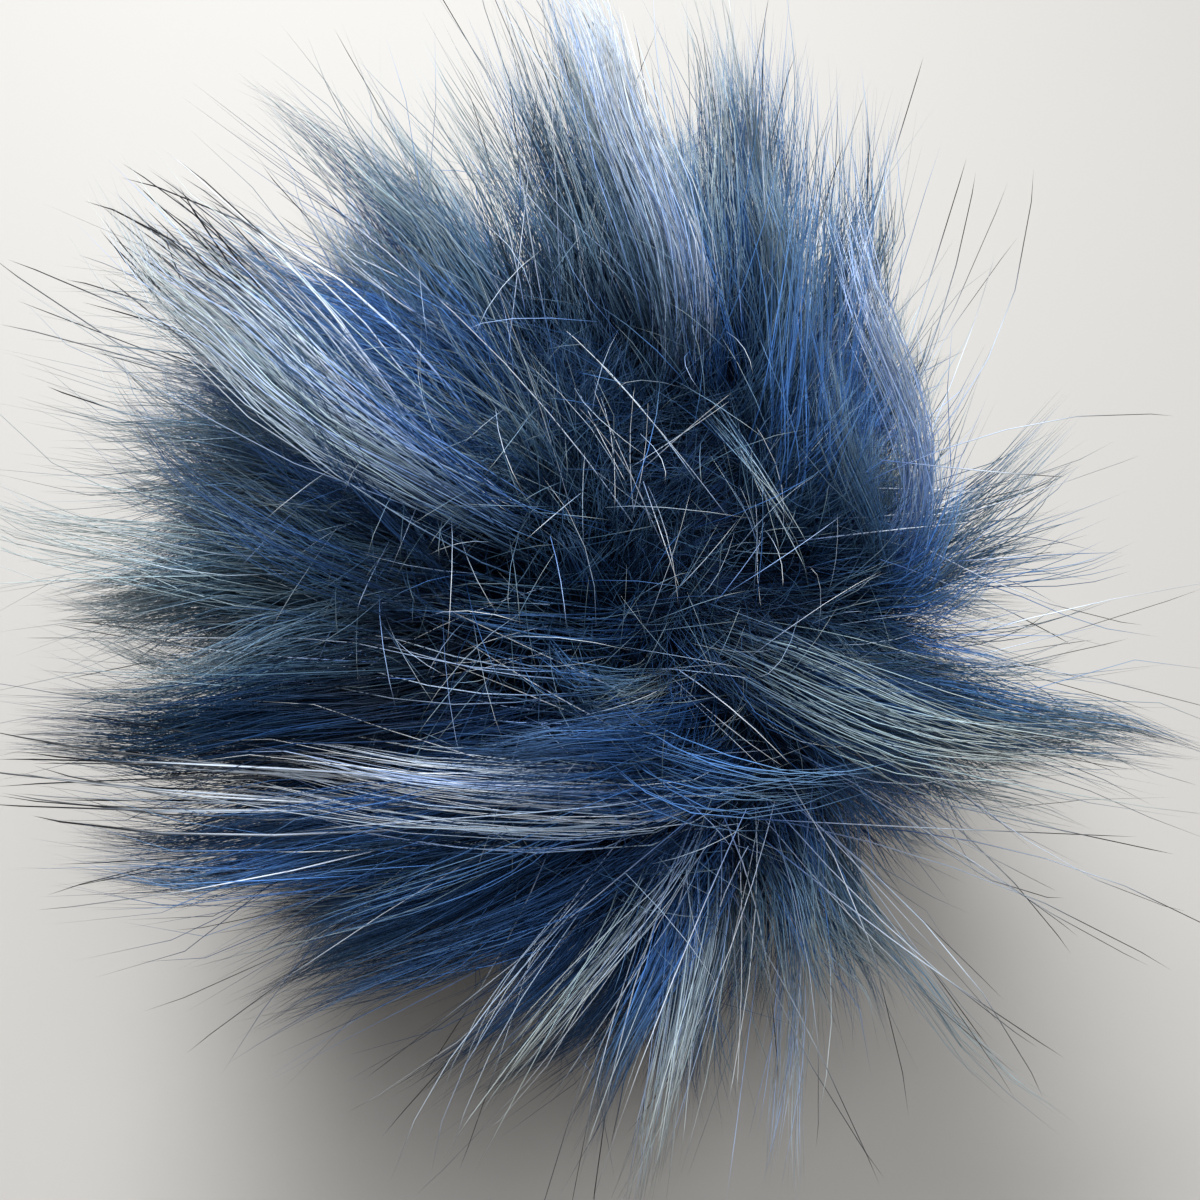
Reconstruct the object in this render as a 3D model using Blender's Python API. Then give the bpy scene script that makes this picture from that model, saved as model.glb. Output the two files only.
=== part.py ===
"""Faux-fur pom pom: one piece of long-pile fur gathered into a ball, lying on its own pile.

The pile sweeps outwards from a crown that faces forwards and up, and parts into locks of uneven
length. Each lock is placed by its bearing round the crown and its angle down from the crown.
Units are metres, +Z is up, the front is -Y, and the ball stands on z = 0 with its flat spot.
"""

import math
from typing import NamedTuple

import bmesh
import bpy
from mathutils import Vector, noise

MM = 0.001

# The ball
CENTRE_HEIGHT = 50 * MM        # the middle of the ball above the surface that it lies on
BODY_RADIUS = 67 * MM          # where the pile closes up between its locks
CROWN_ELEVATION = 62           # degrees that the crown is tilted up from the front
CROWN_HOLLOW = 10 * MM         # how much lower the tousled crown is than the pile round it
CROWN_SPREAD = 26              # degrees from the crown at which the hollow fades out
SEAT_SHORTENING = 9 * MM       # how much shorter the crushed pile is straight below the middle
LOCK_GATHER = 0.45             # how far a lock draws the pile round it in towards its axis
LOCK_BLEND = 4                 # how sharply one lock takes over from the next
NO_LOCK = 1e-9                 # a blend weight below this is no lock at all
TUFT_HEIGHT = 2.2 * MM         # the unevenness of the pile between the locks
TUFT_FREQUENCY = 4.5           # tufts across one radius of the ball
SPHERE_SUBDIVISIONS = 5        # 20, then four times as many triangles at each later step

# The dyed pile
PILE_COLOUR = (0.028, 0.062, 0.142, 1.0)
PILE_ROUGHNESS = 0.8


class Lock(NamedTuple):
    """One lock of pile that stands out from the ball."""

    bearing: float    # degrees round the crown, 0 at the back and 90 on the right
    drop: float       # degrees down from the crown
    reach: float      # millimetres from the ball's middle to where the lock thins out
    spread: float     # degrees from the lock's axis to where it merges with the ball


LOCKS = (
    # the low shoulders of the locks that lie over the front of the ball
    Lock(bearing=2, drop=44, reach=73, spread=14),
    Lock(bearing=36, drop=47, reach=76, spread=15),
    Lock(bearing=98, drop=44, reach=73, spread=13),
    Lock(bearing=170, drop=46, reach=74, spread=14),
    Lock(bearing=214, drop=42, reach=72, spread=14),
    Lock(bearing=258, drop=46, reach=75, spread=14),
    Lock(bearing=304, drop=42, reach=75, spread=15),
    # the ring that fans out round the crown
    Lock(bearing=0, drop=74, reach=87, spread=11),
    Lock(bearing=13, drop=72, reach=89, spread=11),
    Lock(bearing=26, drop=68, reach=81, spread=15),
    Lock(bearing=48, drop=66, reach=76, spread=14),
    Lock(bearing=76, drop=78, reach=77, spread=13),
    Lock(bearing=91, drop=80, reach=80, spread=13),
    Lock(bearing=103, drop=76, reach=90, spread=11),
    Lock(bearing=117, drop=80, reach=84, spread=12),
    Lock(bearing=139, drop=80, reach=88, spread=11),
    Lock(bearing=161, drop=74, reach=87, spread=12),
    Lock(bearing=176, drop=72, reach=87, spread=13),
    Lock(bearing=193, drop=74, reach=81, spread=13),
    Lock(bearing=212, drop=80, reach=84, spread=12),
    Lock(bearing=233, drop=80, reach=78, spread=13),
    Lock(bearing=255, drop=76, reach=86, spread=12),
    Lock(bearing=280, drop=80, reach=89, spread=11),
    Lock(bearing=290, drop=70, reach=80, spread=16),
    Lock(bearing=309, drop=64, reach=88, spread=14),
    Lock(bearing=336, drop=70, reach=81, spread=17),
    Lock(bearing=351, drop=72, reach=85, spread=12),
    # the far side
    Lock(bearing=20, drop=98, reach=82, spread=15),
    Lock(bearing=52, drop=96, reach=79, spread=16),
    Lock(bearing=70, drop=112, reach=83, spread=14),
    Lock(bearing=5, drop=120, reach=84, spread=14),
    Lock(bearing=38, drop=122, reach=80, spread=15),
    Lock(bearing=312, drop=94, reach=80, spread=15),
    Lock(bearing=330, drop=112, reach=84, spread=14),
    Lock(bearing=298, drop=108, reach=79, spread=15),
    Lock(bearing=350, drop=98, reach=81, spread=13),
    # the locks that splay out low down, over the surface
    Lock(bearing=104, drop=100, reach=81, spread=14),
    Lock(bearing=128, drop=98, reach=79, spread=14),
    Lock(bearing=151, drop=95, reach=78, spread=14),
    Lock(bearing=184, drop=93, reach=80, spread=14),
    Lock(bearing=203, drop=97, reach=78, spread=13),
    Lock(bearing=226, drop=99, reach=80, spread=13),
    Lock(bearing=246, drop=98, reach=78, spread=14),
    Lock(bearing=268, drop=100, reach=81, spread=14),
)


def pile_direction(bearing: float, drop: float) -> Vector:
    """Return the unit vector at a bearing round the crown and a drop from it, in degrees."""
    tilt = math.radians(CROWN_ELEVATION)
    crown = Vector((0, -math.cos(tilt), math.sin(tilt)))
    back = Vector((0, math.sin(tilt), math.cos(tilt)))
    right = Vector((1, 0, 0))
    turn, fall = math.radians(bearing), math.radians(drop)
    outwards = math.sin(turn) * right + math.cos(turn) * back
    return math.cos(fall) * crown + math.sin(fall) * outwards


def falloff(angle: float, spread: float) -> float:
    """Return 1 on an axis, fading smoothly to nothing well past the spread."""
    return math.exp(-((angle / spread) ** 2))


def body_radius(direction: Vector) -> float:
    """Return how far the closed pile between the locks reaches in one direction."""
    crown = pile_direction(0, 0)
    crown_angle = math.degrees(direction.angle(crown))
    radius = BODY_RADIUS - CROWN_HOLLOW * falloff(crown_angle, CROWN_SPREAD)
    radius -= SEAT_SHORTENING * max(0.0, -direction.z)
    return radius + TUFT_HEIGHT * noise.noise(direction * TUFT_FREQUENCY)


def pile_reach(direction: Vector, lock_axes: list) -> Vector:
    """Return the pile's reach from the ball's middle, drawn out and in by the locks round it."""
    radius = body_radius(direction)
    total, gather = 0.0, Vector()
    for lock, axis in lock_axes:
        share = falloff(math.degrees(direction.angle(axis)), lock.spread)
        weight = (share * (lock.reach - radius / MM)) ** LOCK_BLEND
        total += weight
        gather += weight * share * (axis - direction)
    stand_out = total ** (1 / LOCK_BLEND) * MM
    gathered = direction + gather * (LOCK_GATHER / max(total, NO_LOCK))
    return gathered.normalized() * (radius + stand_out)


def press_flat(point: Vector, middle: Vector) -> Vector:
    """Shorten the pile that would reach below the surface, along its own direction."""
    if point.z > 0:
        return point
    reach = point - middle
    pressed = middle + reach * (middle.z / -reach.z)
    pressed.z = 0.0
    return pressed


def shape_ball(ball: bmesh.types.BMesh) -> None:
    """Pull each vertex of a unit sphere out to the pile's surface."""
    middle = Vector((0, 0, CENTRE_HEIGHT))
    lock_axes = [(lock, pile_direction(lock.bearing, lock.drop)) for lock in LOCKS]
    for vertex in ball.verts:
        reach = pile_reach(vertex.co.normalized(), lock_axes)
        vertex.co = press_flat(middle + reach, middle)


def join_flat_spot(ball: bmesh.types.BMesh) -> None:
    """Make the pressed faces, which all lie on z = 0, one flat face."""
    flat_spot = [face for face in ball.faces if all(vertex.co.z == 0 for vertex in face.verts)]
    bmesh.ops.dissolve_faces(ball, faces=flat_spot, use_verts=True)


def stand_on_origin(ball: bmesh.types.BMesh) -> None:
    """Move the ball sideways until its bounding box is centred over the origin."""
    across = [vertex.co.x for vertex in ball.verts]
    along = [vertex.co.y for vertex in ball.verts]
    middle = Vector((min(across) + max(across), min(along) + max(along), 0)) / 2
    bmesh.ops.translate(ball, verts=ball.verts, vec=-middle)


def dyed_pile() -> bpy.types.Material:
    """Return the navy finish of the pile."""
    material = bpy.data.materials.new("dyed_pile")
    material.use_nodes = True
    shader = material.node_tree.nodes["Principled BSDF"]
    shader.inputs["Base Color"].default_value = PILE_COLOUR
    shader.inputs["Roughness"].default_value = PILE_ROUGHNESS
    shader.inputs["Metallic"].default_value = 0.0
    return material


def make_fur_ball(collection: bpy.types.Collection) -> bpy.types.Object:
    """Make the ball of fur, backing and pile in one, and link it to a collection."""
    ball = bmesh.new()
    bmesh.ops.create_icosphere(ball, subdivisions=SPHERE_SUBDIVISIONS, radius=1.0)
    shape_ball(ball)
    join_flat_spot(ball)
    stand_on_origin(ball)
    mesh = bpy.data.meshes.new("fur_ball")
    ball.to_mesh(mesh)
    ball.free()
    mesh.shade_smooth()
    mesh.set_sharp_from_angle(angle=math.radians(60))
    mesh.materials.append(dyed_pile())
    fur_ball = bpy.data.objects.new("fur_ball", mesh)
    collection.objects.link(fur_ball)
    return fur_ball


def main() -> None:
    """Clear the scene and build the pom pom."""
    for leftover in list(bpy.data.objects):
        bpy.data.objects.remove(leftover, do_unlink=True)
    pom_pom = bpy.data.collections.new("pom_pom")
    bpy.context.scene.collection.children.link(pom_pom)
    make_fur_ball(pom_pom)


main()
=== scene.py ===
"""The looks of the faux-fur pom pom: the foot of its pile, its underfur, its silver hairs, its
guard hairs and its loose hairs.

The pile is swept outwards from a crown that leans forwards. A place on the ball is given as a
maker would find it with the crown in hand: a bearing round the crown, 0 at the back and 90 on
the right, a drop from the crown, and a reach from the ball's middle.
"""

import logging
import math
from dataclasses import dataclass, field, replace
from enum import Enum

import bpy
import numpy as np
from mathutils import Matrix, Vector, noise


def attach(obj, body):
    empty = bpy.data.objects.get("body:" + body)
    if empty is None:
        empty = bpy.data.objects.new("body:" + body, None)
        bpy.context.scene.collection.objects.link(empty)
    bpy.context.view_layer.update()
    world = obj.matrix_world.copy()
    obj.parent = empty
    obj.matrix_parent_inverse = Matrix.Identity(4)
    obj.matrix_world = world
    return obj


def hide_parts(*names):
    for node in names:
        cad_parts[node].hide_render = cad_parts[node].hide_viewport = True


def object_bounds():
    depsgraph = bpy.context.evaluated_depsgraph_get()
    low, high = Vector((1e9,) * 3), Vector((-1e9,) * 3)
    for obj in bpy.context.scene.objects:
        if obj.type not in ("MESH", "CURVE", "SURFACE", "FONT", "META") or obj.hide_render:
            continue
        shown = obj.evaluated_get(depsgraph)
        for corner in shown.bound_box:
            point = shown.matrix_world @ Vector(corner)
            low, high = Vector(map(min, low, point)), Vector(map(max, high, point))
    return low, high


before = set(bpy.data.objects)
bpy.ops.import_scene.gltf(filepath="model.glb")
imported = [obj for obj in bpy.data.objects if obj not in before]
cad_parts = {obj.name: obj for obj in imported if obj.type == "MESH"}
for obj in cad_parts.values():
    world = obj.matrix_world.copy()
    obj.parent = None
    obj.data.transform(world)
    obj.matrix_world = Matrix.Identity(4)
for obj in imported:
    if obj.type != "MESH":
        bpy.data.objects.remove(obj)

LOG = logging.getLogger("pom_pom")
CAD_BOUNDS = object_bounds()
BODY = "root"
NODE = "fur_ball"
MM = 0.001

FIBRE_MAP = "OFBake"          # the UV map that carries dye across and root-to-tip up
FIBRE_MAP_WIDTH = 0.003       # how much of the dye chart one fibre spans
CHART_ENDS = (0.004, 0.996)   # no fibre is dyed from outside these
PILE_FLOW = "pile_flow"       # the attribute that carries bearing and drop
FIBRE_SIDES = 3
ROOT_WIDTH = 0.75             # a fibre's width at its root, as a share of its full width
TAPER = 0.4                   # how much of its width it has lost just before its tip
HANDLE = 0.34                 # where a bent fibre's curve turns, as a share of its length
MATTED = 6.0                  # mm of tangle past which fibres lie flat on the ball
STAND_OUT = 0.03              # how far hairs may pass the solid, as a share of its size
STAND_OUT_MORE = 8.5 * MM     # and on top of that


def linear(colour: str) -> tuple[float, float, float, float]:
    """Turn an sRGB hex colour into linear RGBA.

    Args:
        colour: Six hex digits, with a leading #.

    Returns:
        Linear red, green, blue and an alpha of 1.
    """
    parts = [int(colour[i : i + 2], 16) / 255 for i in (1, 3, 5)]
    flat = [c / 12.92 if c <= 0.04045 else ((c + 0.055) / 1.055) ** 2.4 for c in parts]
    return (*flat, 1.0)


def add_node(tree: bpy.types.NodeTree, kind: str, settings: dict, inputs: dict) -> bpy.types.Node:
    """Add a shader node with its settings and its links or values.

    Args:
        tree: The material's node tree.
        kind: The node's class, such as ShaderNodeMix.
        settings: Attribute names and values.
        inputs: Socket names or numbers, each with a plain value or the socket to link.

    Returns:
        The new node.
    """
    node = tree.nodes.new(kind)
    for name, value in settings.items():
        setattr(node, name, value)
    for key, value in inputs.items():
        if isinstance(value, bpy.types.NodeSocket):
            tree.links.new(value, node.inputs[key])
        else:
            node.inputs[key].default_value = value
    return node


def new_material(name: str) -> tuple[bpy.types.Material, bpy.types.NodeTree, bpy.types.Node]:
    """Make a material whose main shader is ready to be set.

    Args:
        name: The material's name.

    Returns:
        The material, its node tree and its main shader.
    """
    made = bpy.data.materials.new(name)
    made.use_nodes = True
    return made, made.node_tree, made.node_tree.nodes["Principled BSDF"]


def dress(piece: bpy.types.Object) -> None:
    """Tie a piece to the ball's body."""
    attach(piece, BODY)


def unit(vectors: np.ndarray) -> np.ndarray:
    """Scale vectors to a length of 1."""
    return vectors / np.maximum(np.linalg.norm(vectors, axis=-1, keepdims=True), 1e-12)


@dataclass(frozen=True)
class Compass:
    """Finds places on the ball by bearing and drop from the crown."""

    middle: tuple[float, float, float] = (0.6 * MM, 0.9 * MM, 50 * MM)
    crown_elevation: float = 62.0

    def axes(self) -> tuple[np.ndarray, np.ndarray, np.ndarray]:
        """Work out the directions that bearings and drops are counted from.

        Returns:
            The crown's direction, the way to its back and the way to its right.
        """
        tilt = math.radians(self.crown_elevation)
        crown = np.array((0.0, -math.cos(tilt), math.sin(tilt)))
        back = np.array((0.0, math.sin(tilt), math.cos(tilt)))
        return crown, back, np.array((1.0, 0.0, 0.0))

    def direction(self, bearing: np.ndarray | float, drop: np.ndarray | float) -> np.ndarray:
        """Turn bearings and drops into directions from the ball's middle.

        Args:
            bearing: Degrees round the crown, 0 at the back and 90 on the right.
            drop: Degrees from the crown.

        Returns:
            The unit vectors, or one for a single bearing and drop.
        """
        crown, back, right = self.axes()
        turn = np.radians(np.asarray(bearing, float))[..., None]
        fall = np.radians(np.asarray(drop, float))[..., None]
        outwards = np.sin(turn) * right + np.cos(turn) * back
        return np.cos(fall) * crown + np.sin(fall) * outwards

    def drops(self, directions: np.ndarray) -> np.ndarray:
        """Return the drop of each unit vector from the crown, in degrees."""
        return np.degrees(np.arccos(np.clip(directions @ self.axes()[0], -1, 1)))

    def bearings(self, directions: np.ndarray) -> np.ndarray:
        """Return the bearing of each unit vector round the crown, in degrees."""
        _, back, right = self.axes()
        return np.degrees(np.arctan2(directions @ right, directions @ back))

    def even_ways(self, total: int) -> np.ndarray:
        """Spread directions evenly over the ball, from the crown down.

        Args:
            total: How many there are.

        Returns:
            A unit vector in each row.
        """
        step = np.arange(total)
        drop = np.degrees(np.arccos(1 - 2 * (step + 0.5) / total))
        golden = 180 * (3 - math.sqrt(5))
        return self.direction((step * golden) % 360, drop)

    def centre(self) -> np.ndarray:
        """Return the ball's middle as an array."""
        return np.array(self.middle)


COMPASS = Compass()


class Dye(Enum):
    """The dyes of the pile, by their place across the dye chart."""

    # the darkest navy, also used as painted shade in the whorl's hollows
    INK = 0.03
    NAVY = 0.14
    ROYAL = 0.26
    DENIM = 0.33
    SLATE = 0.40
    STEEL = 0.53
    SAGE = 0.64
    SILVER = 0.71
    LAVENDER = 0.78
    FROST = 0.85
    CREAM = 0.90
    GUARD = 0.96


INK, NAVY, ROYAL, DENIM, SLATE, STEEL, SAGE, SILVER, LAVENDER, FROST, CREAM, GUARD = Dye


@dataclass(frozen=True)
class DyeShades:
    """One dye's colour at the root, the middle and the tip of a fibre; the darker root is partly painted
    shade.
    """

    dye: Dye
    root: str
    middle: str
    tip: str


@dataclass(frozen=True)
class PileFinish:
    """Modacrylic pile, solution-dyed and heat-set: satin fibres whose dark roots are part dye, part
    painted shade.
    """

    name: str = "modacrylic_pile"
    roughness: float = 0.42
    specular: float = 0.2
    sheen: str = "#c4d6f6"            # the tint of the light that the fibres throw back
    fibre_to_fibre: float = 0.45      # how much one fibre's dye differs from the next
    fibre_noise_scale: float = 260.0  # changes of shade across the dye chart
    noise_span: tuple[float, float] = (0.3, 0.7)    # what the noise keeps to
    middle_fade: tuple[float, float] = (0.1, 0.6)   # where root, part painted shade, turns to middle
    tip_fade: tuple[float, float] = (0.56, 0.76)    # and middle to tip
    # the root colours darken each dye partly as painted shade deep in the dense pile
    shades: tuple[DyeShades, ...] = (
        DyeShades(INK, "#03080f", "#152c48", "#2a4258"),
        DyeShades(NAVY, "#030d22", "#1e3e6a", "#304a6e"),
        DyeShades(ROYAL, "#1a4078", "#5488d2", "#5c80aa"),
        DyeShades(DENIM, "#081a36", "#436a98", "#54728e"),
        DyeShades(SLATE, "#071626", "#3a5566", "#66757c"),
        DyeShades(STEEL, "#0f2944", "#7696b2", "#8e9ca2"),
        DyeShades(SAGE, "#26394a", "#93a9ae", "#a4aeac"),
        DyeShades(SILVER, "#55779f", "#acbccb", "#b2bbbe"),
        DyeShades(LAVENDER, "#4f7cc6", "#8eb0ea", "#94b0e2"),
        DyeShades(FROST, "#94aecb", "#b6cadb", "#b4bec6"),
        DyeShades(CREAM, "#9fb4d6", "#e0e8f2", "#d8dcde"),
        DyeShades(GUARD, "#3f5f96", "#c4d0de", "#050506"),
    )

    def ramp(
        self, tree: bpy.types.NodeTree, across: bpy.types.NodeSocket, end: str
    ) -> bpy.types.NodeSocket:
        """Add the ramp of all dyes at one end of the fibre.

        Args:
            tree: The material's node tree.
            across: The place across the dye chart.
            end: The DyeShades field to read: root, middle or tip.

        Returns:
            The ramp's colour socket.
        """
        node = add_node(tree, "ShaderNodeValToRGB", {}, {"Fac": across})
        stops = node.color_ramp.elements
        for place, shade in enumerate(self.shades):
            stop = stops[place] if place < 2 else stops.new(shade.dye.value)
            stop.position = shade.dye.value
            stop.color = linear(getattr(shade, end))
        return node.outputs["Color"]

    def material(self) -> bpy.types.Material:
        """Build the fibre material, whose colour follows the fibre map alone.

        Returns:
            The material.
        """
        made, tree, shader = new_material(self.name)
        chart = add_node(tree, "ShaderNodeUVMap", {"uv_map": FIBRE_MAP}, {})
        axes = add_node(tree, "ShaderNodeSeparateXYZ", {}, {0: chart.outputs[0]})
        across, along = axes.outputs[0], axes.outputs[1]
        # each fibre starts at its root colour, partly painted shade, and turns to middle and tip
        colour = self.ramp(tree, across, "root")
        for end, (low, high) in (("middle", self.middle_fade), ("tip", self.tip_fade)):
            smooth = {"interpolation_type": "SMOOTHSTEP"}
            span = {"Value": along, "From Min": low, "From Max": high}
            turned = add_node(tree, "ShaderNodeMapRange", smooth, span).outputs[0]
            ends = {0: turned, 6: colour, 7: self.ramp(tree, across, end)}
            colour = add_node(tree, "ShaderNodeMix", {"data_type": "RGBA"}, ends).outputs[2]
        shade_noise = add_node(
            tree,
            "ShaderNodeTexNoise",
            {"noise_dimensions": "1D"},
            {"W": across, "Scale": self.fibre_noise_scale, "Detail": 1.0},
        )
        shade = add_node(
            tree,
            "ShaderNodeMapRange",
            {},
            {
                "Value": shade_noise.outputs[0],
                "From Min": self.noise_span[0],
                "From Max": self.noise_span[1],
                "To Min": 1.0 - self.fibre_to_fibre,
                "To Max": 1.0 + self.fibre_to_fibre,
            },
        )
        scaled = {0: colour, "Scale": shade.outputs[0]}
        dyed = add_node(tree, "ShaderNodeVectorMath", {"operation": "SCALE"}, scaled)
        tree.links.new(dyed.outputs[0], shader.inputs["Base Color"])
        shader.inputs["Roughness"].default_value = self.roughness
        shader.inputs["Specular IOR Level"].default_value = self.specular
        shader.inputs["Specular Tint"].default_value = linear(self.sheen)
        return made


@dataclass
class Fibres:
    """Many fibres as arrays: paths from root to tip, widths and dyes."""

    paths: np.ndarray     # fibre, station, axis, in metres
    widths: np.ndarray    # metres
    dyes: np.ndarray      # place across the dye chart

    @staticmethod
    def joined(bundles: list["Fibres"]) -> "Fibres":
        """Join bundles that have as many stations along their fibres.

        Args:
            bundles: The bundles.

        Returns:
            Their fibres in one.
        """
        return Fibres(
            np.concatenate([b.paths for b in bundles]),
            np.concatenate([b.widths for b in bundles]),
            np.concatenate([b.dyes for b in bundles]),
        )

    def picked(self, which: np.ndarray) -> "Fibres":
        """Return some of the fibres."""
        return Fibres(self.paths[which], self.widths[which], self.dyes[which])

    def rings(self, rng: np.random.Generator) -> np.ndarray:
        """Work out the points of every fibre, wide at its belly and pointed at its tip.

        Args:
            rng: Turns each fibre about its own length.

        Returns:
            A row of points for each fibre: three round each station and one at the tip.
        """
        count, stations, _ = self.paths.shape
        along = unit(np.gradient(self.paths, axis=1))
        lean = unit(rng.normal(size=(count, 1, 3)))
        across = unit(lean - (lean * along).sum(-1, keepdims=True) * along)
        up = np.cross(along, across)
        part = np.linspace(0, 1, stations)[:-1]
        swell = ROOT_WIDTH + (1 - ROOT_WIDTH) * np.sin(np.pi * np.sqrt(part))
        profile = swell * (1 - TAPER * part**3)
        radius = 0.5 * self.widths[:, None, None, None] * profile[None, :, None, None]
        turn = 2 * np.pi * np.arange(FIBRE_SIDES) / FIBRE_SIDES
        spokes = (
            np.cos(turn)[None, None, :, None] * across[:, :-1, None, :]
            + np.sin(turn)[None, None, :, None] * up[:, :-1, None, :]
        )
        round_station = self.paths[:, :-1, None, :] + radius * spokes
        tips = self.paths[:, -1:, :]
        return np.concatenate([round_station.reshape(count, -1, 3), tips], axis=1)

    @staticmethod
    def strand(stations: int) -> tuple[np.ndarray, np.ndarray, np.ndarray]:
        """Lay out the faces of one closed strand.

        Args:
            stations: How many stations it has along its length.

        Returns:
            Its faces' corners, how many corners each face has, and each corner's side and station.
        """
        sides = FIBRE_SIDES
        corners, sizes, places = [], [], []
        for ring in range(stations - 2):
            for side in range(sides):
                low, high, after = ring * sides, (ring + 1) * sides, (side + 1) % sides
                corners += [low + side, low + after, high + after, high + side]
                places += [(side, ring), (side + 1, ring), (side + 1, ring + 1), (side, ring + 1)]
                sizes.append(4)
        last, tip = (stations - 2) * sides, (stations - 1) * sides
        for side in range(sides):
            corners += [last + side, last + (side + 1) % sides, tip]
            places += [(side, stations - 2), (side + 1, stations - 2), (side + 0.5, stations - 1)]
            sizes.append(3)
        corners += [2, 1, 0]
        places += [(2, 0), (1, 0), (0.5, 0.05)]   # the root's end, not quite flat on the chart
        sizes.append(3)
        return np.array(corners), np.array(sizes), np.array(places, float)

    def piece(self, name: str, material: bpy.types.Material, seed: int) -> bpy.types.Object:
        """Make the fibres one joined mesh of closed tapered strands, tied to the ball.

        Args:
            name: The piece's name.
            material: The fibre material.
            seed: Seeds the turn of each strand about its own length.

        Returns:
            The new object, at the origin.
        """
        count, stations, _ = self.paths.shape
        corners, sizes, places = self.strand(stations)
        points = self.rings(np.random.default_rng(seed))
        shift = np.arange(count)[:, None] * points.shape[1]
        loops = (corners[None, :] + shift).ravel()
        totals = np.tile(sizes, count)
        starts = np.concatenate([[0], np.cumsum(totals)[:-1]])
        dyes = self.dyes.clip(*CHART_ENDS)
        chart_u = dyes[:, None] + (places[None, :, 0] / FIBRE_SIDES - 0.5) * FIBRE_MAP_WIDTH
        chart_v = np.broadcast_to(places[:, 1] / (stations - 1), chart_u.shape)
        mesh = bpy.data.meshes.new(name)
        mesh.vertices.add(points.shape[0] * points.shape[1])
        mesh.vertices.foreach_set("co", points.astype(np.float32).ravel())
        mesh.loops.add(len(loops))
        mesh.loops.foreach_set("vertex_index", loops.astype(np.int32))
        mesh.polygons.add(len(totals))
        mesh.polygons.foreach_set("loop_start", starts.astype(np.int32))
        mesh.update(calc_edges=True)
        chart = mesh.uv_layers.new(name=FIBRE_MAP)
        chart_uv = np.stack([chart_u, chart_v], axis=-1).astype(np.float32)
        chart.uv.foreach_set("vector", chart_uv.ravel())
        mesh.shade_smooth()
        mesh.materials.append(material)
        piece = bpy.data.objects.new(name, mesh)
        bpy.context.scene.collection.objects.link(piece)
        dress(piece)
        LOG.info("%s: %d fibres, %d triangles", name, count, count * int((sizes - 2).sum()))
        return piece


@dataclass(frozen=True)
class Lock:
    """One lock of pile, from the middle of its roots on the ball to where it thins out."""

    dye: Dye
    root: tuple[float, float]            # bearing and drop
    tip: tuple[float, float, float]      # bearing, drop and reach in mm
    silver: int = 0                      # how many longer, paler hairs lie over it
    over: Dye = LAVENDER                 # the dye of those
    stream: float = 2.4                  # mm that those spread from the middle of the lock
    gather: float = 0.5                  # 0 keeps its wisps apart, 1 draws them to a point
    rise: float = 4.0                    # mm that it arches out from the ball
    bow: float = 0.0                     # mm that it bows clockwise round the crown
    tousle: float = 3.4                  # mm that its wisps stray
    tangle: float = 1.0                  # mm that its single fibres stray


class LockFrames:
    """The locks as arrays: their roots and tips and the directions along, out of and across them."""

    RAGGED = 0.35   # how far the borders between locks stray, as a share of their width

    def __init__(self, locks: list[Lock], foot_reach: float) -> None:
        """Work the directions out.

        Args:
            locks: The locks.
            foot_reach: How far from the ball's middle the fibres start, in metres.
        """
        self.locks = locks
        self.root_ways = np.array([COMPASS.direction(*lock.root) for lock in locks])
        self.roots = foot_reach * self.root_ways
        tip_ways = np.array([COMPASS.direction(*lock.tip[:2]) for lock in locks])
        self.tips = tip_ways * np.array([[lock.tip[2] * MM] for lock in locks])
        self.along = unit(self.tips - self.roots)
        half_way = unit(self.roots + self.tips)
        self.out = unit(half_way - (half_way * self.along).sum(-1, keepdims=True) * self.along)
        self.across = np.cross(self.along, self.out)

    def numbers(self, field_name: str) -> np.ndarray:
        """Return one field of every lock as a column."""
        return np.array([[float(getattr(lock, field_name))] for lock in self.locks])

    def dyes(self, field_name: str) -> np.ndarray:
        """Return the dye in one field of every lock, as places across the chart."""
        return np.array([getattr(lock, field_name).value for lock in self.locks])

    def shares(self, ways: np.ndarray, border: float, rng: np.random.Generator) -> np.ndarray:
        """Return how far each root direction belongs to each lock, with soft ragged borders.

        Args:
            ways: The root directions.
            border: The width of the borders between locks, in degrees.
            rng: Makes the borders ragged.

        Returns:
            A row for each direction and a column for each lock, adding up to 1 along a row.
        """
        angles = np.degrees(np.arccos(np.clip(ways @ self.root_ways.T, -1, 1)))
        angles = angles + rng.normal(0, self.RAGGED * border, angles.shape)
        nearest = angles.min(axis=1, keepdims=True)
        shares = np.exp(-(angles**2 - nearest**2) / border**2)
        return shares / shares.sum(axis=1, keepdims=True)


@dataclass
class Wisps:
    """Many wisps as arrays, with places measured from the ball's middle."""

    locks: np.ndarray     # which lock each belongs to
    tufts: np.ndarray     # which wisp leads the tuft that each belongs to
    roots: np.ndarray
    tips: np.ndarray

    def drawn(self, rng: np.random.Generator, spread: float, alone: float = 0.4) -> np.ndarray:
        """Draw a number for each wisp, mostly alike within a tuft.

        Args:
            rng: The source of the numbers.
            spread: How far they spread.
            alone: How far a wisp strays from its tuft, as a share of that.

        Returns:
            A column with a row for each wisp.
        """
        shape = (len(self.locks), 1)
        return rng.normal(0, spread, shape)[self.tufts] + alone * rng.normal(0, spread, shape)


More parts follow.
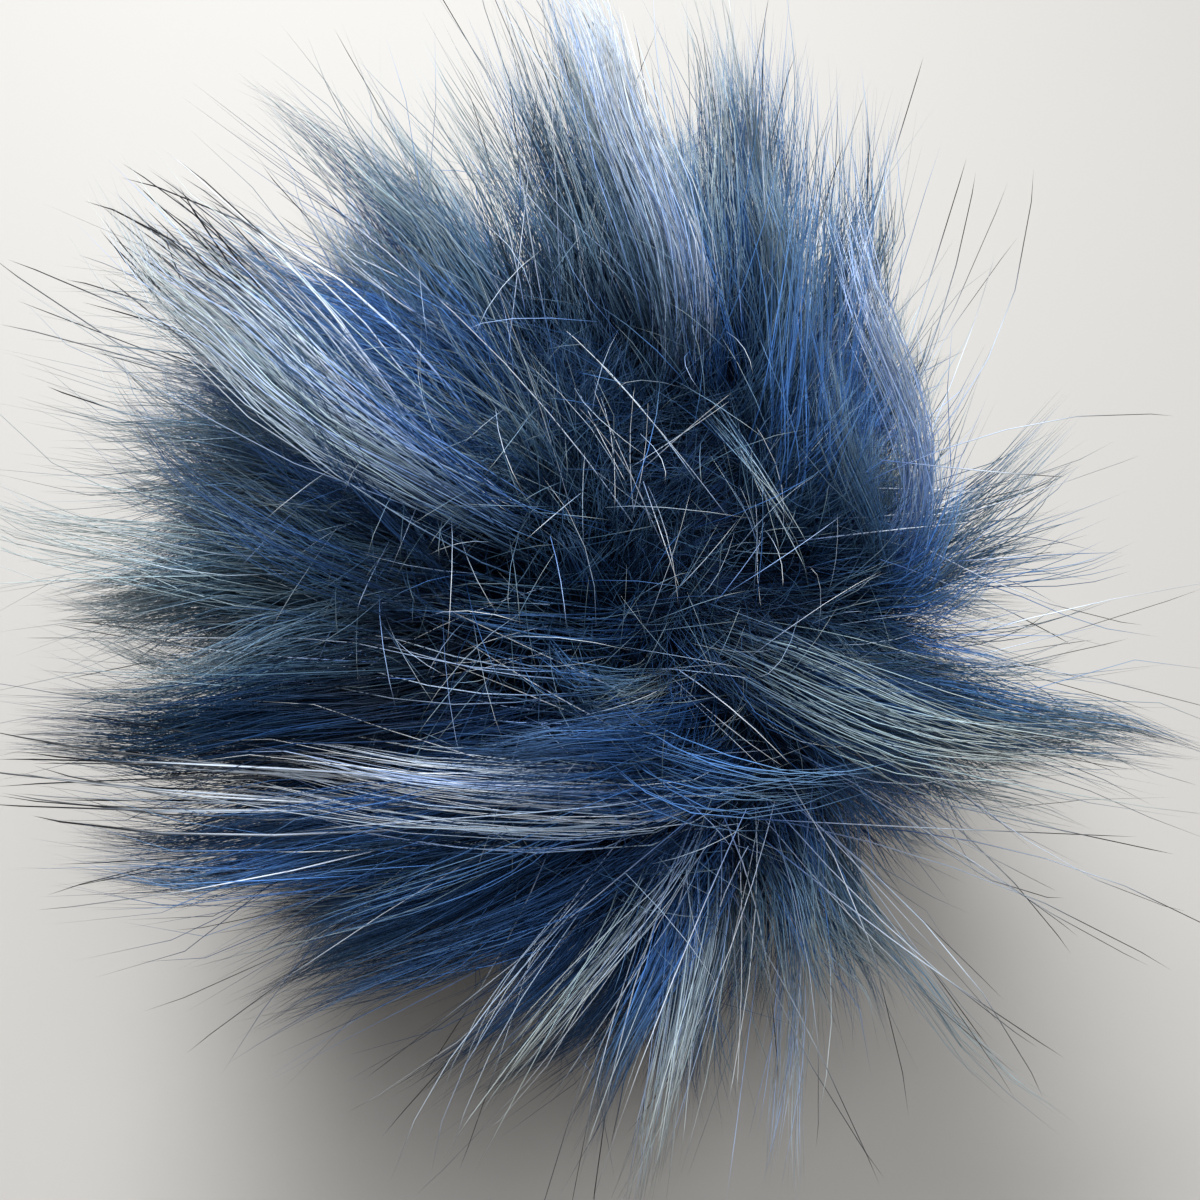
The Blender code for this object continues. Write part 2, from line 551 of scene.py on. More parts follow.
@dataclass(frozen=True)
class WispLook:
    """How the fibres of a wisp lie."""

    width: float              # mm across one fibre
    dye_field: str            # the lock's field that holds their dye
    shade: float              # how far the dyes stray across the chart
    root_spread: float = 1.5  # mm
    tip_spread: float = 0.9   # mm
    frizz: float = 0.2        # share of fibres that leave their wisp
    stray: float = 6.0        # mm that those stray
    stand: float = 0.62       # how upright the fibres leave the backing
    settle: float = 0.22      # how much they turn outwards again at their tips
    arch: float = 1.0         # share of the lock's rise that they follow
    wisp_bow: float = 2.6     # mm that whole wisps bow aside
    wisp_arch: float = 0.6    # how much of that they arch up and down
    wander: float = 1.2       # mm that single fibres wander
    shortest: float = 0.82    # the shortest tuft as a share of its lock
    longest: float = 1.06     # the longest fibre as a share of its tuft
    uneven: float = 0.3       # how much shorter than that its fibres may be
    waves: tuple[float, ...] = (17.0, 21.0, 26.0, 33.0, 42.0)  # mm, how long the soft waves are


UNDERFUR = WispLook(width=0.12, dye_field="dye", shade=0.05, root_spread=1.8, tip_spread=0.6)
FAR_UNDERFUR = replace(UNDERFUR, width=0.14, root_spread=2.0, tip_spread=0.7)
SILVER_HAIRS = WispLook(
    width=0.165,
    dye_field="over",
    shade=0.03,
    root_spread=1.6,
    tip_spread=1.3,
    frizz=0.16,
    stray=7.0,
    wander=1.5,
    arch=1.25,
    wisp_bow=2.4,
    shortest=0.88,
    uneven=0.26,
    waves=(32.0, 40.0, 50.0, 64.0),
)


@dataclass
class PileGrower:
    """Grows wisps of fibres between the roots and tips that it is given."""

    stations: int
    rng: np.random.Generator
    foot_reach: float = 0.0
    point: float = 0.0                # the share of a fibre that is its point, or 0 for even steps
    floor: float = 0.5 * MM           # nothing lies lower than this
    floor_spread: float = 3 * MM      # fibres that meet the surface lie this deep over it
    pushed_out: float = 0.55          # how far along the surface they are bent, as a share
    matted_uneven: float = 0.04       # how much the height of matted pile varies
    wave_height: float = 1.1 * MM     # how far each soft wave pushes fibres aside
    wave_seed: int = 3

    def parts(self) -> np.ndarray:
        """Return how far up a fibre each station is."""
        point = self.point or 1 / (self.stations - 1)
        return np.append(np.linspace(0, 1 - point, self.stations - 1), 1.0)[None, :, None]

    def grow(self, frames: LockFrames, wisps: Wisps, fibres: int, look: WispLook) -> Fibres:
        """Return the fibres of many wisps.

        Args:
            frames: The locks.
            wisps: The wisps that the fibres gather into.
            fibres: How many fibres there are in all.
            look: How the fibres lie in their wisps.

        Returns:
            The fibres, with paths in metres.
        """
        rng = self.rng
        wisp = np.sort(rng.integers(0, len(wisps.locks), fibres))
        lock = wisps.locks[wisp]
        roots = wisps.roots[wisp] + rng.normal(0, look.root_spread * MM, (fibres, 3))
        roots = self.foot_reach * unit(roots)
        tangle = frames.numbers("tangle")[lock]
        loose = look.tip_spread + tangle - Lock.tangle
        tips = wisps.tips[wisp] + loose * MM * rng.normal(size=(fibres, 3))
        matted = tangle[:, 0] > MATTED
        lie = np.linalg.norm(wisps.tips[wisp][matted], axis=1, keepdims=True)
        tips[matted] = unit(tips[matted]) * lie * rng.normal(1, self.matted_uneven, lie.shape)
        stray = rng.random(fibres) < look.frizz
        tips[stray] += rng.normal(0, look.stray * MM, (int(stray.sum()), 3))
        length = np.linalg.norm(tips - roots, axis=1, keepdims=True)
        chord = unit(tips - roots)
        leave = unit(look.stand * unit(roots) + (1 - look.stand) * chord)
        arrive = unit(look.settle * unit(tips) + chord)
        wisp_bow = wisps.drawn(rng, look.wisp_bow * MM)[wisp]
        wisp_arch = wisps.drawn(rng, look.wisp_arch * look.wisp_bow * MM)[wisp]
        arch = look.arch * frames.numbers("rise")[lock] * MM + wisp_arch
        bow = frames.numbers("bow")[lock] * MM + wisp_bow
        lift = arch * frames.out[lock] + bow * frames.across[lock]
        knee = roots + HANDLE * length * leave + lift
        wrist = tips - HANDLE * length * arrive + lift
        wrist += rng.normal(0, look.wander * MM, (fibres, 3))
        knee += rng.normal(0, 0.5 * look.wander * MM, (fibres, 3))
        tuft_reach = rng.uniform(look.shortest, 1.0, len(wisps.locks))[wisps.tufts]
        reach = tuft_reach[wisp] * (look.longest - look.uneven * rng.random(fibres) ** 2)
        part = self.parts() * reach[:, None, None]
        paths = self.curve((roots, knee, wrist, tips), part)
        paths = self.settled(paths + part * self.wave_moves(paths, look.waves))
        widths = look.width * MM * rng.uniform(0.75, 1.25, fibres)
        wisp_dye = frames.dyes(look.dye_field)[wisps.locks] + wisps.drawn(rng, look.shade, 0.5)[:, 0]
        return Fibres(paths, widths, wisp_dye[wisp] + rng.normal(0, 0.4 * look.shade, fibres))

    def single_hairs(
        self, roots: np.ndarray, tips: np.ndarray, bend: np.ndarray, part: np.ndarray
    ) -> np.ndarray:
        """Return the paths of hairs that lie by themselves, each with one bend.

        Args:
            roots: Where they start, from the ball's middle.
            tips: Where they end.
            bend: How far each is bent aside.
            part: How far up its hair each station is.

        Returns:
            The paths in metres.
        """
        third = (tips - roots) / 3
        return self.settled(self.curve((roots, roots + third + bend, tips - third + bend, tips), part))

    @staticmethod
    def curve(ends: tuple, part: np.ndarray) -> np.ndarray:
        """Find points along cubic curves.

        Args:
            ends: The root, the two turning points and the tip of each curve.
            part: How far along its curve each point is.

        Returns:
            The points.
        """
        a, b, c, d = (point[:, None, :] for point in ends)
        rest = 1 - part
        return rest**3 * a + 3 * rest**2 * part * b + 3 * rest * part**2 * c + part**3 * d

    def wave_moves(self, points: np.ndarray, lengths: tuple[float, ...]) -> np.ndarray:
        """Return the soft waves that run through neighbouring fibres alike.

        Args:
            points: Points on the fibres.
            lengths: How long the waves are, in mm.

        Returns:
            How far each point moves.
        """
        rng = np.random.default_rng(self.wave_seed)
        moves = np.zeros_like(points)
        for length in lengths:
            way = unit(rng.normal(size=3)) * 2 * np.pi / (length * MM)
            push = unit(rng.normal(size=3)) * self.wave_height
            moves += np.sin(points @ way + rng.uniform(0, 2 * np.pi))[..., None] * push
        return moves

    def settled(self, paths: np.ndarray) -> np.ndarray:
        """Stand paths on the surface, bent and shortened to where they may reach.

        Args:
            paths: Paths measured from the ball's middle.

        Returns:
            The paths in metres over the surface.
        """
        paths = paths + COMPASS.centre()
        low = self.floor + self.rng.random((len(paths), 1)) * self.floor_spread
        sunk = np.clip(low - paths[..., 2], 0, None)
        outwards = paths[..., :2] - COMPASS.centre()[:2]
        size = np.maximum(np.linalg.norm(outwards, axis=-1, keepdims=True), 1 * MM)
        paths[..., :2] += self.pushed_out * sunk[..., None] * outwards / size
        paths[..., 2] += sunk
        low_corner, high_corner = (np.array(corner) for corner in CAD_BOUNDS)
        most = STAND_OUT * (high_corner - low_corner) + STAND_OUT_MORE
        roots = paths[:, :1, :]
        reach = paths - roots
        room = np.where(reach > 0, high_corner + most - roots, roots - low_corner + most)
        share = (room / np.maximum(np.abs(reach), 1e-9)).min(axis=(1, 2)).clip(0, 1)
        return roots + reach * share[:, None, None]


@dataclass
class Fleece:
    """All the pile: the underfur that covers the ball and the silver hairs that lie over it."""

    front_locks: tuple[Lock, ...]
    outline: tuple[tuple[float, float], ...]   # bearing, and mm from the ball's middle
    seed: int = 5
    foot_reach: float = 43 * MM
    far_lock_count: int = 110        # over the whole ball, but none is kept near the crown
    front_drop: float = 52.0         # degrees from the crown to where the far locks begin
    far_lean: float = 9.0            # degrees further down that their tips lie
    sweep: float = 22.0              # and how many more where the crown's sweep starts
    sweep_drop: float = 45.0         # degrees from the crown to there
    sweep_fade: float = 30.0         # and over which it fades out
    last_drop: float = 176.0         # no tip lies lower than this
    far_silver: tuple[int, ...] = (0, 10, 25, 60, 90)   # how many silver hairs one may have
    far_silver_odds: tuple[float, ...] = (0.25, 0.25, 0.25, 0.15, 0.1)
    far_overs: tuple[Dye, ...] = (LAVENDER, STEEL, SAGE)   # and their dyes
    silver_drop: float = 80.0        # degrees from the crown above which they have few
    few_silver: int = 12             # the most there
    patch_scale: float = 2.1         # patches of one dye, to a radius of the ball
    patch_shift: tuple[float, float, float] = (3.1, 0.7, 1.9)   # which part of the noise is used
    royal_patches: float = 0.3       # far locks are royal where the patch noise is above this
    slate_patches: float = 0.02      # slate where it is below this, and navy between
    lobes: tuple[float, ...] = (66.0, 70.0, 79.0)   # mm that the locks behind reach
    lobe_odds: tuple[float, ...] = (0.4, 0.3, 0.3)
    reach_jitter: float = 1.5        # mm that their reaches vary
    lobe_over_outline: float = 9.0   # the most mm that a lobe passes the outline beside it
    lobe_drops: tuple[float, float] = (84.0, 16.0)  # where outline turns to lobes, and over how far
    wisps: int = 3600
    wisp_jitter: float = 0.012       # how far their roots stray from even, to a radius
    wisps_in_tuft: int = 7
    lag: float = 0.7                 # how far tips stay back with roots behind the lock's middle
    lead: float = 0.2                # and how far they go on with those ahead of it
    tuft_gather: float = 0.62        # how far a wisp is drawn to its tuft's leader
    tuft_tousle: float = 1.5         # as many times the lock's tousle for whole tufts
    wisp_tousle: float = 0.4         # and for single wisps
    fibres_in_front: int = 23900
    fibres_behind: int = 18500
    in_front: float = 72.0           # degrees from the crown that count as in front
    most_fibres: int = 9250          # in one piece
    border: float = 6.0              # degrees over which one lock gives way to the next
    stations: int = 5                # along a fibre in front
    far_stations: int = 4            # along one behind
    hair_stations: int = 8           # and along a silver hair
    hairs_in_wisp: int = 7
    hair_streaming: float = 1.2      # how far silver hairs stream along a lock, to one across it
    hair_gather: float = 0.8         # how much less they gather than the lock
    hair_follow: float = 0.7         # how far their tips follow roots that lie further along
    hair_reach: float = 1.05         # how far they reach, as a share of the lock
    hair_scatter: float = 1.2 * MM   # how far their wisps stray at the tips
    rng: np.random.Generator = field(init=False)

    def __post_init__(self) -> None:
        """Seed the fleece, so that it grows alike each time."""
        self.rng = np.random.default_rng(self.seed)

    def far_lock(self, way: np.ndarray) -> Lock:
        """Lay one lock on the sides or behind, swept on round the ball.

        Args:
            way: The direction of its roots from the ball's middle.

        Returns:
            The lock.
        """
        rng = self.rng
        drop, bearing = float(COMPASS.drops(way)), float(COMPASS.bearings(way))
        from_sweep = (drop - self.sweep_drop) / self.sweep_fade
        lean = self.far_lean + self.sweep * math.exp(-(from_sweep**2))
        tip_drop = min(drop + lean, self.last_drop)
        patch = noise.noise(Vector(way) * self.patch_scale + Vector(self.patch_shift))
        dye = ROYAL if patch > self.royal_patches else SLATE if patch < self.slate_patches else NAVY
        silver = int(rng.choice(self.far_silver, p=self.far_silver_odds))
        silver = min(silver, self.few_silver) if drop < self.silver_drop else silver
        return Lock(
            dye,
            root=(bearing, drop),
            tip=(bearing + rng.normal(0, 6), tip_drop, self.far_reach(bearing, drop)),
            silver=silver,
            over=self.far_overs[int(rng.integers(len(self.far_overs)))],
            gather=rng.uniform(0.6, 0.85),
            rise=rng.uniform(1, 5),
            bow=rng.normal(0, 2),
            tangle=rng.uniform(1, 3),
        )

    def far_reach(self, bearing: float, drop: float) -> float:
        """Work out how far a far lock reaches: the outline round the ball, lobes behind.

        Args:
            bearing: The bearing of its roots.
            drop: Their drop.

        Returns:
            Millimetres from the ball's middle.
        """
        ring = np.interp(bearing, *np.array(self.outline).T, period=360)
        ring += self.rng.normal(0, self.reach_jitter)
        behind = self.rng.choice(self.lobes, p=self.lobe_odds)
        behind += self.rng.normal(0, self.reach_jitter)
        behind = min(behind, ring + self.lobe_over_outline)
        share = min(1.0, max(0.0, (drop - self.lobe_drops[0]) / self.lobe_drops[1]))
        return float(ring + share * (behind - ring))

    def all_locks(self) -> list[Lock]:
        """Lay the far locks behind those in front.

        Returns:
            The locks in front and then the far ones.
        """
        ways = COMPASS.even_ways(self.far_lock_count)
        far = [way for way in ways if COMPASS.drops(way) > self.front_drop]
        return list(self.front_locks) + [self.far_lock(way) for way in far]

    def wisp_tips(self, frames: LockFrames, shares: np.ndarray, roots: np.ndarray) -> np.ndarray:
        """Return where wisps end, drawn in towards the tips of the locks that they belong to.

        Args:
            frames: The locks.
            shares: How far each wisp belongs to each lock.
            roots: Where the wisps leave the ball, from its middle.

        Returns:
            The wisps' ends, from the ball's middle.
        """
        blended = np.zeros_like(roots)
        spread = np.linalg.norm(frames.tips, axis=1) / self.foot_reach
        keep = (1 - frames.numbers("gather")[:, 0]) * spread
        for lock in range(len(frames.locks)):
            from_root = roots - frames.roots[lock]
            beside = from_root @ frames.across[lock]
            ahead = from_root @ frames.along[lock]
            slide = self.lag * np.minimum(ahead, 0) + self.lead * np.maximum(ahead, 0)
            tips = frames.tips[lock] + (keep[lock] * beside)[:, None] * frames.across[lock]
            tips = tips + slide[:, None] * frames.along[lock]
            blended += shares[:, lock : lock + 1] * tips
        return blended

    def wisps_of(self, frames: LockFrames, ways: np.ndarray) -> Wisps:
        """Lay wisps in tufts, and the tufts in locks.

        Args:
            frames: The locks.
            ways: The directions in which the wisps leave the ball.

        Returns:
            The wisps.
        """
        rng = self.rng
        roots = self.foot_reach * ways
        shares = frames.shares(ways, self.border, rng)
        leaders = rng.choice(len(ways), len(ways) // self.wisps_in_tuft, replace=False)
        tufts = leaders[(ways @ ways[leaders].T).argmax(axis=1)]
        tips = self.wisp_tips(frames, shares, roots)
        tousle = shares @ frames.numbers("tousle") * MM
        tips += self.tuft_tousle * (tousle * rng.normal(size=tips.shape))[tufts]
        drawn_in = self.tuft_gather * (tips[tufts] - tips)
        tips += drawn_in + self.wisp_tousle * tousle * rng.normal(size=tips.shape)
        return Wisps(shares.argmax(axis=1), tufts, roots, tips)

    def underfur(self, frames: LockFrames) -> list[Fibres]:
        """Grow the underfur in front and behind.

        Args:
            frames: The locks.

        Returns:
            The fibres in front, and those behind.
        """
        grown = []
        jitter = self.rng.normal(0, self.wisp_jitter, (self.wisps, 3))
        ways = unit(COMPASS.even_ways(self.wisps) + jitter)
        drops = COMPASS.drops(ways)
        halves = (
            (drops < self.in_front, self.fibres_in_front, self.stations, UNDERFUR),
            (drops >= self.in_front, self.fibres_behind, self.far_stations, FAR_UNDERFUR),
        )
        for chosen, fibres, stations, look in halves:
            wisps = self.wisps_of(frames, ways[chosen])
            grower = PileGrower(stations, self.rng, self.foot_reach)
            grown.append(grower.grow(frames, wisps, fibres, look))
        return grown

    def silver_hairs(self, frames: LockFrames) -> Fibres:
        """Grow the longer pale hairs over the locks that have them.

        Args:
            frames: The locks.

        Returns:
            The hairs.
        """
        rng = self.rng
        counts = frames.numbers("silver")[:, 0]
        wisps_over = np.ceil(counts / self.hairs_in_wisp).astype(int)
        lock_of = np.repeat(np.arange(len(counts)), wisps_over)
        shape = (len(lock_of), 1)
        stream = frames.numbers("stream")[lock_of] * MM
        beside = stream * rng.normal(size=shape) * frames.across[lock_of]
        ahead = self.hair_streaming * stream * rng.normal(size=shape) * frames.along[lock_of]
        roots = frames.roots[lock_of] + beside + ahead
        keep = 1 - self.hair_gather * frames.numbers("gather")[lock_of]
        spread = np.linalg.norm(frames.tips[lock_of], axis=1, keepdims=True) / self.foot_reach
        scatter = rng.normal(0, self.hair_scatter, (len(lock_of), 3))
        tips = self.hair_reach * frames.tips[lock_of] + keep * spread * beside
        tips = tips + self.hair_follow * ahead + scatter
        grower = PileGrower(self.hair_stations, rng, self.foot_reach)
        wisps = Wisps(lock_of, np.arange(len(lock_of)), roots, tips)
        return grower.grow(frames, wisps, int(counts.sum()), SILVER_HAIRS)

    def build(self, material: bpy.types.Material) -> None:
        """Grow the fleece and make its pieces.

        Args:
            material: The fibre material.
        """
        frames = LockFrames(self.all_locks(), self.foot_reach)
        for side, fibres in zip(("front", "far"), self.underfur(frames)):
            pieces = math.ceil(len(fibres.dyes) / self.most_fibres)
            for number, part in enumerate(np.array_split(np.arange(len(fibres.dyes)), pieces)):
                name = f"{side}_underfur_{number + 1}"
                fibres.picked(part).piece(name, material, self.seed + number)
        self.silver_hairs(frames).piece("silver_hairs", material, self.seed)


@dataclass
class FurFoot:
    """The dense foot of the underfur round the gathered backing, too close to see into, dark with painted
    shade.
    """

    name: str = "fur_foot"
    segments: int = 96
    ring_count: int = 48
    reach: float = 46.5 * MM
    hollow: float = 2.5 * MM         # how deep the crown is
    hollow_width: float = 30.0       # degrees
    ridge: float = 2.4 * MM          # how high its tufts stand
    tuft_scale: float = 4.0          # tufts to a radius of the ball
    fine_scale: float = 9.0          # and the finer ones between them
    fine_share: float = 0.6          # as a share of the height of the tufts

    def build(self, material: bpy.types.Material) -> None:
        """Make a ridged ball from a sphere and stand it inside the pile.

        Args:
            material: The foot's material.
        """
        bpy.ops.object.select_all(action="DESELECT")
        bpy.ops.mesh.primitive_uv_sphere_add(
            segments=self.segments,
            ring_count=self.ring_count,
            radius=self.reach,
            location=COMPASS.middle,
            rotation=(math.radians(90 - COMPASS.crown_elevation), 0, 0),
        )
        ball = bpy.context.object
        ball.name = self.name
        ball.data.name = self.name
        bpy.ops.object.transform_apply(location=True, rotation=True, scale=True)
        flow = ball.data.attributes.new(PILE_FLOW, "FLOAT_VECTOR", "POINT")
        for vertex, place in zip(ball.data.vertices, flow.data):
            way = unit(np.array(vertex.co) - COMPASS.centre())
            drop = float(COMPASS.drops(way))
            bearing = math.radians(COMPASS.bearings(way))
            place.vector = (math.cos(bearing), math.sin(bearing), math.radians(drop))
            tuft = noise.noise(Vector(place.vector) * self.tuft_scale)
            tuft += self.fine_share * noise.noise(Vector(way) * self.fine_scale)
            dent = self.hollow * math.exp(-((drop / self.hollow_width) ** 2))
            vertex.co = Vector(COMPASS.centre() + (self.reach - dent + self.ridge * tuft) * way)
        ball.data.shade_smooth()
        ball.data.materials.clear()
        ball.data.materials.append(material)
        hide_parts(NODE)
        dress(ball)
        LOG.info("%s: %d faces", self.name, len(ball.data.polygons))


@dataclass(frozen=True)
class FootFinish:
    """Navy underfur seen end on: matt, painted nearly black as shade, with lit streaks along the way that
    the pile runs.
    """

    name: str = "navy_underfur_painted_shade"
    # painted shade of the pile's depths, and below it the same navy with painted light on the streaks
    deep: str = "#02060f"
    lit: str = "#1c3358"
    lit_from: float = 0.44           # where the noise leaves the deep shade
    lit_to: float = 0.72             # and where it is fully lit
    across_scale: float = 110.0      # to a radius: 0.4 mm, as one fibre is too fine to show
    along_scale: float = 9.0         # streaks 5 mm long
    bump: float = 0.4 * MM           # how high the streaks stand
    roughness: float = 0.9
    specular: float = 0.05

    def material(self) -> bpy.types.Material:
        """Build the streaked matt material.

        Returns:
            The material.
        """
        made, tree, shader = new_material(self.name)
        place = add_node(tree, "ShaderNodeAttribute", {"attribute_name": PILE_FLOW}, {})
        scales = (self.across_scale, self.across_scale, self.along_scale)
        stretch = {"Vector": place.outputs["Vector"], "Scale": scales}
        stretched = add_node(tree, "ShaderNodeMapping", {}, stretch)
        fine = {"Vector": stretched.outputs[0], "Scale": 1.0, "Detail": 3.0}
        grain = add_node(tree, "ShaderNodeTexNoise", {}, fine)
        ramp = add_node(tree, "ShaderNodeValToRGB", {}, {"Fac": grain.outputs[0]})
        stops = ramp.color_ramp.elements
        stops[0].position, stops[0].color = self.lit_from, linear(self.deep)
        stops[1].position, stops[1].color = self.lit_to, linear(self.lit)
        raised = {"Height": grain.outputs[0], "Distance": self.bump}
        bump = add_node(tree, "ShaderNodeBump", {}, raised)
        tree.links.new(ramp.outputs[0], shader.inputs["Base Color"])
        tree.links.new(bump.outputs[0], shader.inputs["Normal"])
        shader.inputs["Roughness"].default_value = self.roughness
        shader.inputs["Specular IOR Level"].default_value = self.specular
        return made


@dataclass(frozen=True)
class Stray:
    """A few guard hairs that cross the pile by themselves."""

    dye: Dye
    root: tuple[float, float]            # bearing and drop
    tip: tuple[float, float, float]      # bearing, drop and reach in mm
    hairs: int
    spread: float                        # mm between them
    width: float = 0.18                  # mm across one
    start: float = 50.0                  # mm from the ball's middle
    bow: float = 3.5                     # mm


@dataclass
class GuardHairs:
    """Straight guard hairs, pale with black ends, that stand clear of the pile."""

    strays: tuple[Stray, ...]
    seed: int = 31
    stations: int = 7
    point: float = 0.06          # the share of a hair that is its point
    dark_end: float = 1.45       # above 1, the black ends reach further down the hairs
    root_spread: float = 0.6     # as a share of the spread of their tips
    arch: float = 1.5 * MM       # how far they bend outwards
    shade: float = 0.015         # how far their dyes stray across the chart

    def build(self, material: bpy.types.Material) -> None:
        """Lay every hair and join them into one piece.

        Args:
            material: The fibre material.
        """
        rng = np.random.default_rng(self.seed)
        grower = PileGrower(self.stations, rng, point=self.point)
        bundles = []
        for stray in self.strays:
            root = stray.start * MM * COMPASS.direction(*stray.root)
            tip = stray.tip[2] * MM * COMPASS.direction(*stray.tip[:2])
            shape = (stray.hairs, 3)
            roots = root + rng.normal(0, self.root_spread * stray.spread * MM, shape)
            tips = tip + rng.normal(0, stray.spread * MM, shape)
            bend = rng.normal(0, stray.bow * MM, shape) + self.arch * unit(root + tip)
            part = grower.parts() ** self.dark_end * rng.uniform(0.8, 1.0, (stray.hairs, 1, 1))
            paths = grower.single_hairs(roots, tips, bend, part)
            widths = stray.width * MM * rng.uniform(0.7, 1.2, stray.hairs)
            dyes = stray.dye.value + rng.normal(0, self.shade, stray.hairs)
            bundles.append(Fibres(paths, widths, dyes))
        Fibres.joined(bundles).piece("guard_hairs", material, self.seed)


@dataclass
class LooseHairs:
    """Single fine hairs that have worked loose and cross the pile at all angles."""

    outline: tuple[tuple[float, float], ...]
    seed: int = 47
    hairs: int = 900
    crown_hairs: int = 400
    crown_drop: float = 42.0          # degrees from the crown that the crown's hairs reach
    jitter: float = 0.05              # how far places stray from even, to a radius
    any_way_drop: float = 38.0        # nearer the crown than this, hairs may point back at it
    stations: int = 5
    width: float = 0.08 * MM
    shortest: float = 8 * MM
    longest: float = 22 * MM
    crown_depth: float = 51.0         # mm from the ball's middle at the crown
    outline_depth: float = 0.86       # as a share of the outline, further down
    outline_drop: float = 60.0        # degrees from the crown from where that holds
    turn: float = 0.75                # radians that they turn aside
    lift: tuple[float, float] = (0.15, 0.5)   # how far they stand up, as a share of their length
    bend: float = 0.1                 # how far they bend aside
    arch: float = 0.08                # and outwards
    dyes: tuple[Dye, ...] = (STEEL, SLATE, ROYAL, DENIM, LAVENDER)
    crown_dyes: tuple[Dye, ...] = (NAVY, SLATE, STEEL, SLATE, FROST)
    shade: float = 0.02               # how far their dyes stray across the chart

    def build(self, material: bpy.types.Material) -> None:
        """Lay every hair near the top of the pile and join them into one piece.

        Args:
            material: The fibre material.
        """
        rng = np.random.default_rng(self.seed)
        crown = COMPASS.axes()[0]
        total = self.hairs + self.crown_hairs
        near = self.crown_drop * np.sqrt(rng.random(self.crown_hairs))
        near_crown = COMPASS.direction(rng.uniform(0, 360, self.crown_hairs), near)
        stray = rng.normal(0, self.jitter, (self.hairs, 3))
        anywhere = unit(COMPASS.even_ways(self.hairs) + stray)
        ways = np.concatenate([anywhere, near_crown])
        drops = COMPASS.drops(ways)[:, None]
        ring = np.interp(COMPASS.bearings(ways), *np.array(self.outline).T, period=360)[:, None]
        down = np.clip(drops / self.outline_drop, 0, 1)
        depth = self.crown_depth + (self.outline_depth * ring - self.crown_depth) * down
        roots = depth * MM * ways
        away = unit(ways - (ways @ crown)[:, None] * crown)
        downhill = unit(away - (away * ways).sum(-1, keepdims=True) * ways)
        cross = np.cross(ways, downhill)
        any_way = np.pi * (drops < self.any_way_drop)
        turn = rng.normal(0, self.turn, (total, 1)) + any_way * rng.random((total, 1))
        heading = np.cos(turn) * downhill + np.sin(turn) * cross
        length = rng.uniform(self.shortest, self.longest, (total, 1))
        lift = rng.uniform(*self.lift, (total, 1))
        tips = roots + length * unit(heading + lift * ways)
        bend = rng.normal(0, self.bend, (total, 1)) * length * cross + self.arch * length * ways
        grower = PileGrower(self.stations, rng)
        paths = grower.single_hairs(roots, tips, bend, grower.parts())
        widths = self.width * rng.uniform(0.75, 1.3, total)
        kinds = [rng.choice([dye.value for dye in self.dyes], self.hairs)]
        kinds += [rng.choice([dye.value for dye in self.crown_dyes], self.crown_hairs)]
        dyes = np.concatenate(kinds) + rng.normal(0, self.shade, total)
        Fibres(paths, widths, dyes).piece("loose_hairs", material, self.seed)


@dataclass
class Studio:
    """A pale floor, soft lights and the camera over the crown."""

    camera_distance: float = 215 * MM
    lens: float = 39.45
    sight_shift: float = 1.6 * MM     # the camera stands this much right of the crown's line
    floor_size: float = 12.0
    floor_gap: float = 0.2 * MM       # between the ball and the floor
    floor_colour: str = "#a3a09b"
    floor_roughness: float = 0.7
    sky_colour: str = "#e6eaf0"
    sky_strength: float = 0.18

    def floor(self) -> None:
        """Lay the floor just below the ball."""
        bpy.ops.mesh.primitive_plane_add(size=self.floor_size, location=(0, 0, -self.floor_gap))
        floor = bpy.context.object
        floor.name = "studio_floor"
        made, _, shader = new_material("matt_pale_floor")
        shader.inputs["Base Color"].default_value = linear(self.floor_colour)
        shader.inputs["Roughness"].default_value = self.floor_roughness
        floor.data.materials.append(made)

    def light(self, name: str, place: tuple, size: float, watts: float, tint: str) -> None:
        """Hang a square soft light that faces the ball.

        Args:
            name: The light's name.
            place: Where it hangs, in metres.
            size: How wide it is, in metres.
            watts: Its power.
            tint: Its colour in hex.
        """
        lamp = bpy.data.lights.new(name, "AREA")
        lamp.size = size
        lamp.energy = watts
        lamp.color = linear(tint)[:3]
        holder = bpy.data.objects.new(name, lamp)
        holder.location = place
        aim = Vector(COMPASS.middle) - Vector(place)
        holder.rotation_euler = aim.to_track_quat("-Z", "Y").to_euler()
        bpy.context.scene.collection.objects.link(holder)

    def camera(self) -> None:
        """Set the camera looking straight down the crown."""
        crown, _, right = COMPASS.axes()
        lens = bpy.data.cameras.new("crown_camera")
        lens.lens = self.lens
        lens.sensor_width = 36
        lens.clip_start = 0.01
        holder = bpy.data.objects.new("crown_camera", lens)
        place = COMPASS.centre() + self.sight_shift * right + self.camera_distance * crown
        holder.location = place
        holder.rotation_euler = Vector(-crown).to_track_quat("-Z", "Y").to_euler()
        bpy.context.scene.collection.objects.link(holder)
        bpy.context.scene.camera = holder

    def build(self) -> None:
        """Set up floor, lights, sky and camera."""
        self.floor()
        self.light("key_softbox", (-0.15, 0.45, 0.6), 0.35, 9.5, "#fafcff")
        self.light("top_softbox", (0.15, 0.0, 0.8), 0.5, 4.4, "#fafcff")
        self.light("front_fill", (0.3, -0.6, 0.45), 0.6, 1.0, "#fff6ea")
        world = bpy.data.worlds.new("pale_sky")
        world.use_nodes = True
        sky = world.node_tree.nodes["Background"]
        sky.inputs["Color"].default_value = linear(self.sky_colour)
        sky.inputs["Strength"].default_value = self.sky_strength
        bpy.context.scene.world = world
        bpy.context.scene.view_settings.view_transform = "Standard"
        self.camera()


def matted(dye: Dye, bearing: float, drop: float) -> Lock:
    """Return a patch of short pile that lies every way."""
    tip = (bearing, drop + 4, 54)
    return Lock(dye, (bearing, drop), tip, gather=0.0, rise=0, tousle=5, tangle=9)
